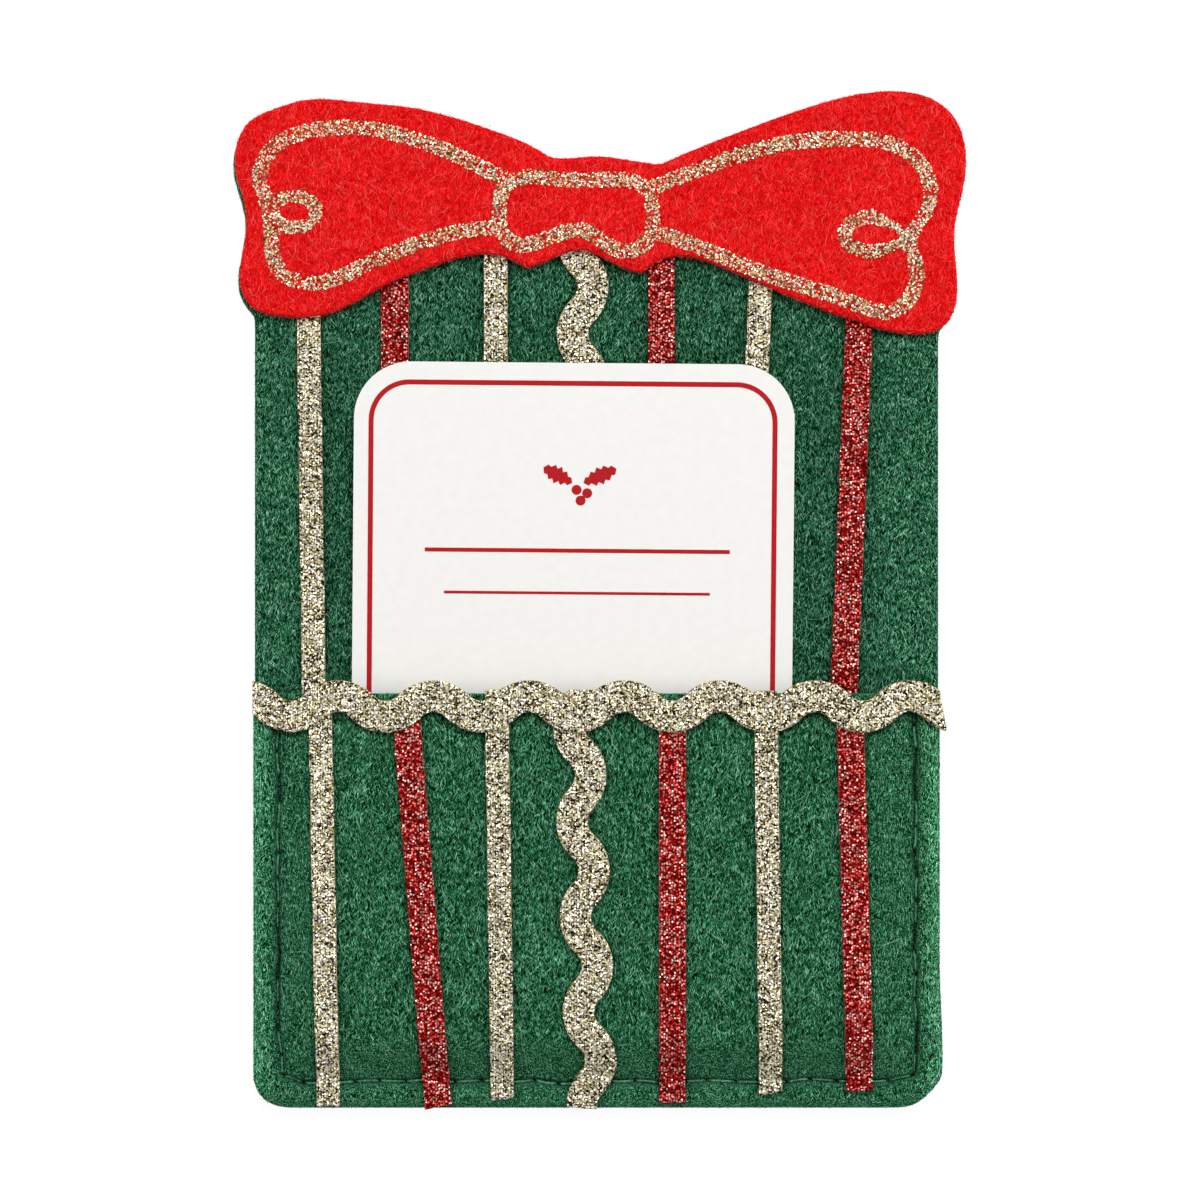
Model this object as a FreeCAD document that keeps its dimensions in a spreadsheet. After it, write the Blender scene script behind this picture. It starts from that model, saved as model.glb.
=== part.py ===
"""Felt gift card holder cut like a wrapped present: green back panel and pocket, red bow, glitter trims.

The holder lies on its back, with +X to the right, +Y towards the bow and +Z out of the front, in
millimetres. Every piece is drawn with Y measured up from the bottom edge and then moved down by half
the holder's length, so the origin is the middle of the back face.
"""
import FreeCAD
import Part
import Sketcher
import math
import os
from collections import namedtuple
from FreeCAD import Placement, Rotation, Vector

SIZES = {
    # Felt panels
    "felt_thickness": 1.5,
    "card_margin": 15.15,
    "holder_length": 124.8,
    "bottom_corner": 4.0,
    "panel_lap": 2.0,
    # Bow and the glitter contour printed on it
    "bow_width": 89.5,
    "bow_height": 29.8,
    "backing_left": 0.4,
    "backing_drop": 0.5,
    "line_width": 1.8,
    "line_thickness": 0.2,
    "left_curl_length": 5.8,
    "left_curl_width": 4.6,
    "right_curl_length": 7.8,
    "right_curl_width": 4.4,
    # Pocket: its front stands off the back panel, and comes down to the seam over the rise
    "pocket_height": 50.9,
    "rise_run": 4.6,
    "rise_gap": 0.6,
    "mouth_clearance": 0.25,
    # Seam
    "seam_inset": 3.0,
    "seam_end": 1.0,
    "stitch_pitch": 3.06,
    "thread_thickness": 0.4,
    "thread_clearance": 0.05,
    "needle_hole": 0.9,
    # Glitter trims
    "trim_thickness": 0.5,
    "trim_clearance": 0.1,
    "gold_width": 2.95,
    "red_width": 3.4,
    "ricrac_width": 3.9,
    "ricrac_pitch": 11.65,
    "ricrac_wave": 1.25,
    "ricrac_overrun": 2.7,
    "mouth_phase": 0.5,
    "mouth_trim_drop": 1.55,
    "strip_gap": 4.4,
    "bow_tuck": 13.0,
    "pocket_tuck": 11.2,
    # Insert card, of the usual plastic card's width and length
    "card_width": 54.0,
    "card_length": 85.6,
    "card_thickness": 0.45,
    "card_corner": 7.0,
    "card_seat": 2.2,
    "card_offset": -3.4,
    "card_lean": -0.5,
    "card_lift": 0.15,
    "bow_clearance": 0.35,
}

# Trims from left to right, as they were laid by hand. A shift is sideways from an even spacing and a lean
# is in degrees; the foot is above the bottom edge and the head is above the pocket's mouth.
Strip = namedtuple("Strip", "name kind back_shift back_lean pocket_shift pocket_lean foot head")
STRIPS = [
    Strip("gold_left", "gold", -1.4, 0.8, 0.35, 1.1, 0.2, -0.5),
    Strip("red_left", "red", -2.0, 0.0, -0.7, 4.6, 0.1, -2.5),
    Strip("gold_middle", "gold", -1.0, 0.0, -0.8, 0.8, 1.1, 0.5),
    Strip("ricrac", "ricrac", -1.7, 0.0, -2.3, 2.0, 0.0, 0.5),
    Strip("red_middle", "red", -3.4, 0.0, -2.1, 0.0, 0.6, -2.5),
    Strip("gold_right", "gold", -2.3, -2.5, -2.1, 0.8, 1.7, 0.4),
    Strip("red_right", "red", -1.35, -2.4, -3.25, 1.6, 2.0, -2.5),
]

# Bow outline in four stretches that meet at the knot's corners, as (X, height above the bottom edge)
BOW_OUTLINE = [
    [(-5.8, 116.7), (-3.0, 116.6), (-0.2, 116.8), (3.6, 116.4), (7.8, 115.8)],
    [
        (7.8, 115.8), (12.9, 118.0), (19.1, 120.4), (26.2, 122.9), (30.9, 124.2), (36.7, 124.8),
        (40.9, 124.0), (44.0, 121.5), (45.3, 117.4), (45.1, 113.3), (44.0, 108.3), (44.2, 102.9),
        (44.2, 99.1), (42.8, 96.1), (39.9, 95.0), (36.7, 95.2), (30.2, 97.1), (21.8, 100.4),
        (14.9, 103.4), (10.5, 104.5), (5.7, 102.5),
    ],
    [(5.7, 102.5), (0.9, 104.3), (-2.0, 105.3), (-5.1, 104.4), (-8.7, 103.1)],
    [
        (-8.7, 103.1), (-13.7, 104.8), (-19.3, 103.6), (-26.8, 100.5), (-34.0, 97.2), (-38.2, 97.1),
        (-42.5, 98.5), (-43.7, 101.0), (-43.1, 106.7), (-43.1, 110.6), (-44.2, 114.5), (-44.0, 118.9),
        (-42.8, 120.9), (-39.9, 122.5), (-35.9, 123.7), (-28.7, 123.4), (-22.8, 122.8), (-18.0, 121.7),
        (-13.3, 120.2), (-9.3, 118.7), (-5.8, 116.7),
    ],
]

# Middle of the printed contour: the two open loops, the closed line round the knot and the loops' curls
LOOP_LINES = [
    [
        (-11.1, 113.9), (-14.9, 115.8), (-21.2, 118.5), (-28.7, 120.2), (-35.5, 119.8), (-40.1, 117.3),
        (-41.3, 113.9), (-40.3, 110.6), (-39.9, 107.4), (-39.0, 102.9), (-34.9, 101.2), (-28.7, 103.3),
        (-21.2, 106.3), (-12.1, 108.0),
    ],
    [
        (6.5, 112.8), (14.3, 115.8), (22.4, 118.2), (30.9, 118.9), (38.0, 117.4), (40.9, 113.0),
        (39.6, 108.6), (39.0, 106.5), (39.4, 102.3), (36.7, 97.9), (30.9, 99.0), (21.4, 102.1),
        (12.1, 105.8), (6.8, 107.6),
    ],
]
KNOT_LINE = [
    (-9.9, 113.9), (-11.5, 112.6), (-11.9, 110.2), (-11.6, 107.5), (-10.0, 106.0), (-7.4, 106.2),
    (-4.4, 107.3), (-1.4, 107.6), (0.8, 106.3), (3.0, 105.2), (5.3, 105.6), (6.7, 107.3), (6.8, 110.2),
    (6.4, 112.4), (4.6, 113.6), (0.9, 113.9), (-5.0, 114.0),
]
CURLS = {"left_curl": (-37.1, 110.1), "right_curl": (34.3, 107.2)}

UP = Vector(0, 0, 1)

doc = FreeCAD.newDocument("gift_card_holder")
sheet = doc.addObject("Spreadsheet::Sheet", "Sizes")
for row, (alias, value) in enumerate(SIZES.items(), start=1):
    sheet.set(f"A{row}", alias)
    sheet.set(f"B{row}", str(value))
    sheet.setAlias(f"B{row}", alias)
doc.recompute()

nodes = []


def size(alias):
    """A driving dimension as the sheet holds it."""
    return float(sheet.get(alias))


def bind(thing, formulas):
    """Ties properties of a document object to the sheet."""
    for name, formula in formulas.items():
        thing.setExpression(name, formula)
    return thing


def add(kind, name, formulas):
    """A document object whose properties follow the sheet."""
    return bind(doc.addObject(kind, name), formulas)


def node(thing, label):
    """Keeps an object as a sub-part and moves it from the bottom edge's frame to the holder's."""
    thing.Label = label
    bind(thing, {"Placement.Base.y": f"{thing.Placement.Base.y} - Sizes.holder_length / 2"})
    nodes.append(thing)
    return thing


def shaped(name, shape):
    """A document object for a shape that no parametric feature draws."""
    feature = doc.addObject("Part::Feature", name)
    feature.Shape = shape
    return feature


def cut(name, base, tool):
    """What is left of one object without another."""
    result = doc.addObject("Part::Cut", name)
    result.Base = base
    result.Tool = tool
    result.Refine = True
    return result


def fuse(name, base, tool):
    """Two objects as one."""
    result = doc.addObject("Part::Fuse", name)
    result.Base = base
    result.Tool = tool
    result.Refine = True
    return result


def common(name, base, tool):
    """Where two objects meet."""
    result = doc.addObject("Part::Common", name)
    result.Base = base
    result.Tool = tool
    return result


def extrude(name, base, height):
    """A flat outline raised by a height from the sheet."""
    result = add("Part::Extrusion", name, {"LengthFwd": height})
    result.Base = base
    result.Dir = UP
    result.DirMode = "Custom"
    result.Solid = True
    return result


# The card's underside climbs from just above the felt at its foot to just above the printed bow, so that it
# slides out over the bow. The pocket's front stands off far enough to let it through at the mouth.
WIDTH = "(Sizes.card_width + 2 * Sizes.card_margin)"
RISE_START = "(Sizes.seam_inset + Sizes.rise_gap)"
CARD_FOOT = f"({RISE_START} + Sizes.card_seat)"
CLIMB = (
    "((Sizes.felt_thickness + Sizes.line_thickness + Sizes.bow_clearance - Sizes.card_lift)"
    f" / (Sizes.holder_length - Sizes.bow_height - {CARD_FOOT}))"
)
RISE = (
    f"(Sizes.card_lift + (Sizes.pocket_height - {CARD_FOOT}) * {CLIMB}"
    " + Sizes.card_thickness + Sizes.mouth_clearance)"
)
STRIP_TOP = "(Sizes.holder_length - Sizes.bow_height + Sizes.bow_tuck)"
body_width = size("card_width") + 2 * size("card_margin")
rise_start = size("seam_inset") + size("rise_gap")
card_foot = rise_start + size("card_seat")
card_rise = size("felt_thickness") + size("line_thickness") + size("bow_clearance") - size("card_lift")
card_climb = card_rise / (size("holder_length") - size("bow_height") - card_foot)
strip_top = size("holder_length") - size("bow_height") + size("bow_tuck")
strip_foot = size("pocket_height") - size("pocket_tuck")
strip_spacing = (body_width - 2 * (rise_start + size("strip_gap"))) / (len(STRIPS) - 1)
half_wave = size("ricrac_pitch") / 2


def plate(name, width, length, thickness, radius, round_top):
    """A flat sheet that stands on the X axis, with its lower corners, or all four, rounded."""
    body = doc.addObject("PartDesign::Body", name)
    sketch = body.newObject("Sketcher::SketchObject", name + "_outline")
    plane = next(feature for feature in body.Origin.OriginFeatures if feature.Role == "XY_Plane")
    sketch.AttachmentSupport = (plane, [""])
    sketch.MapMode = "FlatFace"
    half = body_width / 2
    tall = size("holder_length")
    corners = [Vector(-half, 0, 0), Vector(half, 0, 0), Vector(half, tall, 0), Vector(-half, tall, 0)]
    for side in range(4):
        sketch.addGeometry(Part.LineSegment(corners[side], corners[(side + 1) % 4]))
    for side in range(4):
        sketch.addConstraint(Sketcher.Constraint("Coincident", side, 2, (side + 1) % 4, 1))
    for side, direction in enumerate(("Horizontal", "Vertical", "Horizontal", "Vertical")):
        sketch.addConstraint(Sketcher.Constraint(direction, side))
    sketch.addConstraint(Sketcher.Constraint("Symmetric", 0, 1, 0, 2, -1, 1))
    lengths = (("width", "DistanceX", 0, width), ("length", "DistanceY", 1, length))
    for label, direction, side, formula in lengths:
        index = sketch.addConstraint(Sketcher.Constraint(direction, side, 1, side, 2, tall))
        sketch.renameConstraint(index, label)
        sketch.setExpression("Constraints." + label, formula)
    sheet_pad = body.newObject("PartDesign::Pad", name + "_sheet")
    sheet_pad.Profile = sketch
    sheet_pad.setExpression("Length", thickness)
    doc.recompute()
    middle = sheet_pad.Shape.BoundBox.Center.y
    upright = [
        f"Edge{index}"
        for index, edge in enumerate(sheet_pad.Shape.Edges, start=1)
        if abs(edge.tangentAt(edge.FirstParameter).z) > 0.5 and (round_top or edge.CenterOfMass.y < middle)
    ]
    rounding = body.newObject("PartDesign::Fillet", name + "_corners")
    rounding.Base = (sheet_pad, upright)
    rounding.setExpression("Radius", radius)
    doc.recompute()
    return body


def curve(points):
    """A smooth line through points."""
    spline = Part.BSplineCurve()
    spline.interpolate(points)
    return spline


def on_bow(points):
    """Points of the drawn bow, stretched to the bow's width and height and hung from the holder's top."""
    drawn = [point for stretch in BOW_OUTLINE for point in stretch]
    wide = size("bow_width") / (max(x for x, _ in drawn) - min(x for x, _ in drawn))
    top = max(y for _, y in drawn)
    tall = size("bow_height") / (top - min(y for _, y in drawn))
    return [Vector(x * wide, size("holder_length") - (top - y) * tall, 0) for x, y in points]


def bow_face(left, drop, level):
    """The bow's outline as a face, moved to the left and down."""
    wire = Part.Wire([curve(on_bow(stretch)).toShape() for stretch in BOW_OUTLINE])
    face = Part.Face(wire)
    face.translate(Vector(-left, -drop, level))
    return face


def ribbon(points, closed):
    """A line of the printed contour: a smooth band of even width, raised by the print's thickness."""
    middle = Part.BSplineCurve()
    middle.interpolate(points, PeriodicFlag=closed)
    steps = 3 * len(points)
    last = steps if closed else steps + 1
    sides = ([], [])
    for step in range(last):
        at = middle.FirstParameter + (middle.LastParameter - middle.FirstParameter) * step / steps
        along = middle.tangent(at)[0]
        across = Vector(-along.y, along.x, 0) * (size("line_width") / 2)
        sides[0].append(middle.value(at) + across)
        sides[1].append(middle.value(at) - across)
    if closed:
        faces = []
        for side in sides:
            edge = Part.BSplineCurve()
            edge.interpolate(side, PeriodicFlag=True)
            faces.append(Part.Face(Part.Wire([edge.toShape()])))
        faces.sort(key=lambda face: face.Area)
        face = faces[1].cut(faces[0])
    else:
        ends = [Part.LineSegment(sides[0][at], sides[1][at]).toShape() for at in (0, -1)]
        face = Part.Face(Part.Wire(Part.__sortEdges__([curve(side).toShape() for side in sides] + ends)))
    return face.extrude(UP * size("line_thickness"))


def curl_ring(name, place):
    """A curl of the printed contour: an oval ring of the line's width, in its place on the bow."""
    centre = on_bow([place])[0]
    faces = []
    for spread in (size("line_width"), -size("line_width")):
        long_half = (size(name + "_length") + spread) / 2
        short_half = (size(name + "_width") + spread) / 2
        oval = Part.Ellipse(centre, long_half, short_half)
        faces.append(Part.Face(Part.Wire([oval.toShape()])))
    return faces[0].cut(faces[1]).extrude(UP * size("line_thickness"))


def ricrac_face(start, halves, bulge, width):
    """A ric-rac trim along +Y: half waves of concentric arcs, the first swelling to +X where bulge is 1."""
    wave = size("ricrac_wave")
    radius = (half_wave**2 / 4 + wave**2) / (2 * wave)
    edges = {1: [], -1: []}
    for half in range(halves):
        swell = bulge if half % 2 == 0 else -bulge
        centre = Vector(swell * (wave - radius), start + (half + 0.5) * half_wave, 0)
        for side in (1, -1):
            reach = radius + swell * side * width / 2
            ends = [
                centre + (Vector(0, start + (half + step) * half_wave, 0) - centre).normalize() * reach
                for step in (0, 1)
            ]
            crest = centre + Vector(swell * reach, 0, 0)
            edges[side].append(Part.Arc(ends[0], crest, ends[1]).toShape())
    caps = [
        Part.LineSegment(edges[1][0].Vertexes[0].Point, edges[-1][0].Vertexes[0].Point).toShape(),
        Part.LineSegment(edges[1][-1].Vertexes[-1].Point, edges[-1][-1].Vertexes[-1].Point).toShape(),
    ]
    return Part.Face(Part.Wire(Part.__sortEdges__(edges[1] + edges[-1] + caps)))


def seam_points():
    """Needle holes round the pocket's three sides, with one slanted stitch in each lower corner."""
    side = body_width / 2 - size("seam_inset")
    low = size("seam_inset")
    high = size("pocket_height") - size("seam_end")
    turn = size("stitch_pitch") / math.sqrt(2)
    left = [Vector(-side, high, 0), Vector(-side, low + turn, 0), Vector(turn - side, low, 0)]
    right = [Vector(-at.x, at.y, 0) for at in reversed(left)]
    corners = left + right
    points = [corners[0]]
    for begin, end in zip(corners, corners[1:]):
        run = end - begin
        stitches = max(1, round(run.Length / size("stitch_pitch")))
        points += [begin + run * (step / stitches) for step in range(1, stitches + 1)]
    return points


def seam_solid(width, low, high, hole, foot, head):
    """Stitches lying between low and high, with an upright strand in each needle hole from foot to head."""
    points = seam_points()
    solids = [Part.makeCylinder(hole / 2, head - foot, Vector(at.x, at.y, foot)) for at in points]
    for begin, end in zip(points, points[1:]):
        run = end - begin
        stitch = Part.makeBox(run.Length, width, high - low, Vector(0, -width / 2, low))
        stitch.Placement = Placement(begin, Rotation(Vector(1, 0, 0), run))
        solids.append(stitch)
    return solids[0].multiFuse(solids[1:]).removeSplitter()


def strip_box(name, width, at, lean, below, above, level, height):
    """A straight trim through a point, which runs below and above it along its lean."""
    slant = math.cos(math.radians(lean))
    box = add("Part::Box", name, {"Length": width, "Height": height})
    box.Width = (below + above) / slant
    box.recompute()
    corner = Placement(Vector(-box.Length.Value / 2, -below / slant, level), Rotation())
    box.Placement = Placement(at, Rotation(UP, lean)).multiply(corner)
    return box


def rise_wedge(name, level, height, reach):
    """The swelling of the pocket's front inside the seam, sloped on three sides and square at its mouth."""
    wedge = add(
        "Part::Wedge",
        name,
        {
            "Xmin": f"{RISE_START} - {WIDTH} / 2",
            "Xmax": f"{WIDTH} / 2 - {RISE_START}",
            "X2min": f"{RISE_START} + Sizes.rise_run - {WIDTH} / 2",
            "X2max": f"{WIDTH} / 2 - {RISE_START} - Sizes.rise_run",
            "Zmin": f"-{reach}",
            "Zmax": f"-{RISE_START}",
            "Z2min": f"-{reach}",
            "Z2max": f"-({RISE_START} + Sizes.rise_run)",
            "Ymax": height,
            "Placement.Base.z": level,
        },
    )
    wedge.Ymin = 0
    wedge.Placement = Placement(Vector(), Rotation(Vector(1, 0, 0), 90))
    return wedge


def pocket_form(name, lift):
    """The pocket's outside without its hollow, raised by a lift and run on past the mouth."""
    reach = "(Sizes.pocket_height + Sizes.ricrac_width)"
    flat = add(
        "Part::Box",
        name + "_flat",
        {
            "Length": WIDTH,
            "Width": reach,
            "Height": "Sizes.felt_thickness",
            "Placement.Base.x": f"-{WIDTH} / 2",
            "Placement.Base.z": f"Sizes.felt_thickness + {lift}",
        },
    )
    swelling = rise_wedge(name + "_swelling", f"2 * Sizes.felt_thickness + {lift}", RISE, reach)
    return fuse(name, flat, swelling)


felt = size("felt_thickness")
room = size("trim_clearance")
thread = size("thread_thickness")
slack = size("thread_clearance")
strand = size("needle_hole") - 2 * slack
groove = thread + 2 * slack

# Back panel: one sheet of felt, the body and the bow's shape behind the bow, with the seam's lower half
panel_sheet = plate(
    "panel_sheet",
    WIDTH,
    f"{STRIP_TOP} + Sizes.panel_lap",
    "Sizes.felt_thickness",
    "Sizes.bottom_corner",
    round_top=False,
)
backing = extrude(
    "backing",
    shaped("backing_outline", bow_face(size("backing_left"), size("backing_drop"), 0)),
    "Sizes.felt_thickness",
)
bobbin_room = shaped(
    "bobbin_room", seam_solid(groove, -slack, groove, size("needle_hole"), -slack, felt + slack)
)
node(cut("back_cut", fuse("back_felt", panel_sheet, backing), bobbin_room), "back_panel")

# Pocket: one sheet of felt, sewn flat along its edges and standing off the back panel inside the seam
pocket_sheet = plate(
    "pocket_sheet",
    WIDTH,
    "Sizes.pocket_height",
    "Sizes.felt_thickness",
    "Sizes.bottom_corner",
    round_top=False,
)
bind(pocket_sheet, {"Placement.Base.z": "Sizes.felt_thickness"})
swelling = rise_wedge("pocket_swelling", "2 * Sizes.felt_thickness", RISE, "Sizes.pocket_height")
past_mouth = "(Sizes.pocket_height + Sizes.felt_thickness)"
card_space = rise_wedge("card_space", "Sizes.felt_thickness", RISE, past_mouth)
front = 2 * felt
needle_room = shaped(
    "needle_room",
    seam_solid(groove, front - groove, front + slack, size("needle_hole"), felt - slack, front + slack),
)
pocket_felt = cut("pocket_felt", fuse("pocket_outside", pocket_sheet, swelling), card_space)
node(cut("pocket_cut", pocket_felt, needle_room), "pocket_panel")

# Seam: the needle thread lies sunk in the front and the bobbin thread in the back, locked between panels
needle_top = front - slack
needle_thread = seam_solid(thread, needle_top - thread, needle_top, strand, felt, needle_top)
node(shaped("needle_stitches", needle_thread), "needle_thread")
bobbin_thread = seam_solid(thread, slack, slack + thread, strand, slack, felt)
node(shaped("bobbin_stitches", bobbin_thread), "bobbin_thread")

# Trims on the back panel, from under the bow to inside the pocket, and the bow's room for them
bow_room = []
for place, strip in enumerate(STRIPS):
    across = (place - (len(STRIPS) - 1) / 2) * strip_spacing + strip.back_shift
    name = "back_" + strip.name
    if strip.kind == "ricrac":
        halves = math.ceil((strip_top - strip_foot) / half_wave)
        solids = []
        for label, wider, height in (
            (name + "_trim", 0, "Sizes.trim_thickness"),
            (name + "_room", 2 * room, "Sizes.trim_thickness + Sizes.trim_clearance"),
        ):
            face = ricrac_face(strip_foot, halves, 1, size("ricrac_width") + wider)
            face.translate(Vector(across, 0, felt))
            solids.append(extrude(label, shaped(label + "_outline", face), height))
        node(solids[0], name)
        bow_room.append(solids[1])
    else:
        top = Vector(across, strip_top, 0)
        lean = strip.back_lean
        width = f"Sizes.{strip.kind}_width"
        run = strip_top - strip_foot
        trim_height = "Sizes.trim_thickness"
        room_width = f"{width} + 2 * Sizes.trim_clearance"
        room_height = "Sizes.trim_thickness + Sizes.trim_clearance"
        node(strip_box(name + "_trim", width, top, lean, run, 0, felt, trim_height), name)
        bow_room.append(strip_box(name + "_room", room_width, top, lean, run, room, felt, room_height))

# Bow: one sheet of felt glued over the heads of the trims, and the contour printed on it
bow_felt = extrude("bow_felt", shaped("bow_outline", bow_face(0, 0, felt)), "Sizes.felt_thickness")
trim_room = doc.addObject("Part::MultiFuse", "trim_room")
trim_room.Shapes = bow_room
node(cut("bow_cut", bow_felt, trim_room), "bow")
lines = [ribbon(on_bow(points), closed=False) for points in LOOP_LINES]
lines.append(ribbon(on_bow(KNOT_LINE), closed=True))
lines += [curl_ring(name, place) for name, place in CURLS.items()]
contour = lines[0].multiFuse(lines[1:]).removeSplitter()
contour.translate(Vector(0, 0, front))
node(shaped("bow_print", contour), "bow_contour")

# Trims on the pocket, which follow its front down to the bottom edge
strip_layer = cut(
    "strip_layer",
    pocket_form("strip_outside", "Sizes.trim_thickness"),
    pocket_form("strip_bed", "0"),
)
layer_top = f"2 * Sizes.felt_thickness + {RISE} + Sizes.trim_thickness"
for place, strip in enumerate(STRIPS):
    across = (place - (len(STRIPS) - 1) / 2) * strip_spacing + strip.pocket_shift
    name = "pocket_" + strip.name
    mouth = Vector(across, size("pocket_height"), 0)
    if strip.kind == "ricrac":
        halves = math.ceil((size("pocket_height") + size("ricrac_overrun")) / half_wave)
        face = ricrac_face(-size("ricrac_overrun"), halves, -1, size("ricrac_width"))
        face.translate(-Vector(0, size("pocket_height"), 0))
        face.Placement = Placement(mouth, Rotation(UP, strip.pocket_lean)).multiply(face.Placement)
        below = Vector(-body_width / 2, -size("pocket_height"), 0)
        cut_off = Part.makePlane(body_width, 2 * size("pocket_height") + strip.head, below)
        face = face.common(cut_off).Faces[0]
        prism = extrude(name + "_prism", shaped(name + "_outline", face), layer_top)
    else:
        run = size("pocket_height") - strip.foot
        width = f"Sizes.{strip.kind}_width"
        prism = strip_box(name + "_prism", width, mouth, strip.pocket_lean, run, strip.head, 0, layer_top)
    node(common(name + "_trim", prism, strip_layer), name)

# Ric-rac across the mouth, over the heads of the pocket's trims
mouth_layer = cut(
    "mouth_layer",
    pocket_form("mouth_outside", "2 * Sizes.trim_thickness"),
    pocket_form("mouth_bed", "Sizes.trim_thickness"),
)
pitch = size("ricrac_pitch")
mouth_start = size("mouth_phase") - pitch * math.ceil((body_width / 2 + size("mouth_phase")) / pitch)
mouth_halves = 2 * math.ceil((body_width / 2 - mouth_start) / pitch)
mouth_face = ricrac_face(mouth_start, mouth_halves, -1, size("ricrac_width"))
mouth_line = Vector(0, size("pocket_height") - size("mouth_trim_drop"), 0)
mouth_face.Placement = Placement(mouth_line, Rotation(UP, -90))
mouth_prism = extrude(
    "mouth_prism", shaped("mouth_outline", mouth_face), f"{layer_top} + Sizes.trim_thickness"
)
node(common("mouth_trim", mouth_prism, mouth_layer), "mouth_ricrac")

# Insert card: it slides along its own plane, out of the mouth and over the bow
card = plate(
    "card_sheet",
    "Sizes.card_width",
    "Sizes.card_length",
    "Sizes.card_thickness",
    "Sizes.card_corner",
    round_top=True,
)
card_slope = Rotation(Vector(1, 0, 0), math.degrees(math.atan(card_climb)))
card.Placement = Placement(
    Vector(size("card_offset"), card_foot - size("holder_length") / 2, felt + size("card_lift")),
    Rotation(UP, size("card_lean")).multiply(card_slope),
)
card.Label = "card"
nodes.append(card)

doc.recompute()
for thing in doc.Objects:
    if "Invalid" in thing.State or "Error" in thing.State:
        raise RuntimeError(f"{thing.Name} failed: {thing.State}")
for thing in nodes:
    if thing.Shape.isNull() or not thing.Shape.isValid():
        raise RuntimeError(f"{thing.Label} has no valid shape")

os.makedirs("parts", exist_ok=True)
for thing in nodes:
    thing.Shape.exportStep(f"parts/{thing.Label}.step")
    box = thing.Shape.BoundBox
    print(
        f"{thing.Label}: {len(thing.Shape.Solids)} solid, {thing.Shape.Volume:.1f} mm3,"
        f" x {box.XMin:.2f} to {box.XMax:.2f}, y {box.YMin:.2f} to {box.YMax:.2f},"
        f" z {box.ZMin:.2f} to {box.ZMax:.2f}"
    )
slide = card.Placement.Rotation.multVec(Vector(0, 1, 0))
print(f"card slides along ({slide.x:.5f}, {slide.y:.5f}, {slide.z:.5f})")
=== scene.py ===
"""Felt gift card holder cut like a wrapped present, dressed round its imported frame.

Sections follow the holder as it is put together: back panel, its trims, bow and contour, pocket, seam,
pocket trims, mouth ric-rac and card. The photographer's table comes last. Lengths are written in
millimetres and multiplied by MM, because the frame is in metres.
"""
import math

import bpy
import numpy as np
from mathutils import Matrix, Vector
from mathutils.bvhtree import BVHTree


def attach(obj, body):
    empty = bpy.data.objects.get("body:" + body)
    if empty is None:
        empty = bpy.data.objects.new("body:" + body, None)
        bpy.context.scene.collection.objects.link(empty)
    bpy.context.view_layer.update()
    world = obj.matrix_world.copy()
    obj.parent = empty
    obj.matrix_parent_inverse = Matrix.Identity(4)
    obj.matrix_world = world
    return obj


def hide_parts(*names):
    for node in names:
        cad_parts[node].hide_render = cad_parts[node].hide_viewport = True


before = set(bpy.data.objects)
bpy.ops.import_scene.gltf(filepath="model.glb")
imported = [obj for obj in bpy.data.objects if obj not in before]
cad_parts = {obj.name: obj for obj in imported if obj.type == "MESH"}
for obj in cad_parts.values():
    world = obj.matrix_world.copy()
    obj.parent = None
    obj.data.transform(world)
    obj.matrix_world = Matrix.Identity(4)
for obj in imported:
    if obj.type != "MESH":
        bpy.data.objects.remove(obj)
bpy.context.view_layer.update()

# Back panel: one sheet of green felt, die-cut to the present's outline with the bow's shape on top.
# Everything else is sewn or glued to it, and its back has the seam's lower groove.
# Short loose fibres lie on its open face and round its cut edge, with a few long ones among them.
MM = 0.001
WELD = 0.001
HALF_WIDTH = 42.15
FOOT = -62.4
MOUTH = -11.5
PANEL_VOXEL = 0.55
PANEL_MIDDLE = 0.75
PANEL_SWELL = 0.07
PANEL_SWELL_REACH = 9.0
SEAM_INSET = 3.0
SEAM_TOP = MOUTH - 1.0
LEFT_CORNER = ((0.0, 3.5), (1.0, 0.9), (3.4, 0.2))
RIGHT_CORNER = ((3.5, 0.2), (0.5, 1.0), (0.0, 4.1))
STITCH = 3.06
HOLE_SWAY = 0.14
HOLE_SEED = 53
FAR_AWAY = 1e9
BOBBIN_VALLEY = 0.3
BOBBIN_VALLEY_WIDTH = 0.6
BOBBIN_VALLEY_TOP = SEAM_TOP + 0.5
SIDE_OUT = 0.35
SIDE_OUT_TOP = -44.0
SIDE_OUT_FOOT = -61.0
SIDE_OUT_FROM = 30.0
SIDE_OUT_RUN = 12.0
SIDE_OUT_END = 3.0
CORNER_OFF = 0.42
CORNER_AT = (40.3, -60.7)
CORNER_REACH = (2.3, 2.1)
FACES_UP = 0.5
TRIM_SHADE_REACH = 0.42
TRIM_SHADE = 0.5
TRIM_SHADE_ON_FIBRES = 0.8
BACK_SIDE_HIGHLIGHT = 0.24
BACK_SIDE_HIGHLIGHT_FROM = 33.5
BACK_SIDE_HIGHLIGHT_RUN = 3.0


def only(piece):
    """Makes a piece the one that operators act on."""
    bpy.ops.object.select_all(action="DESELECT")
    piece.select_set(True)
    bpy.context.view_layer.objects.active = piece


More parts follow.
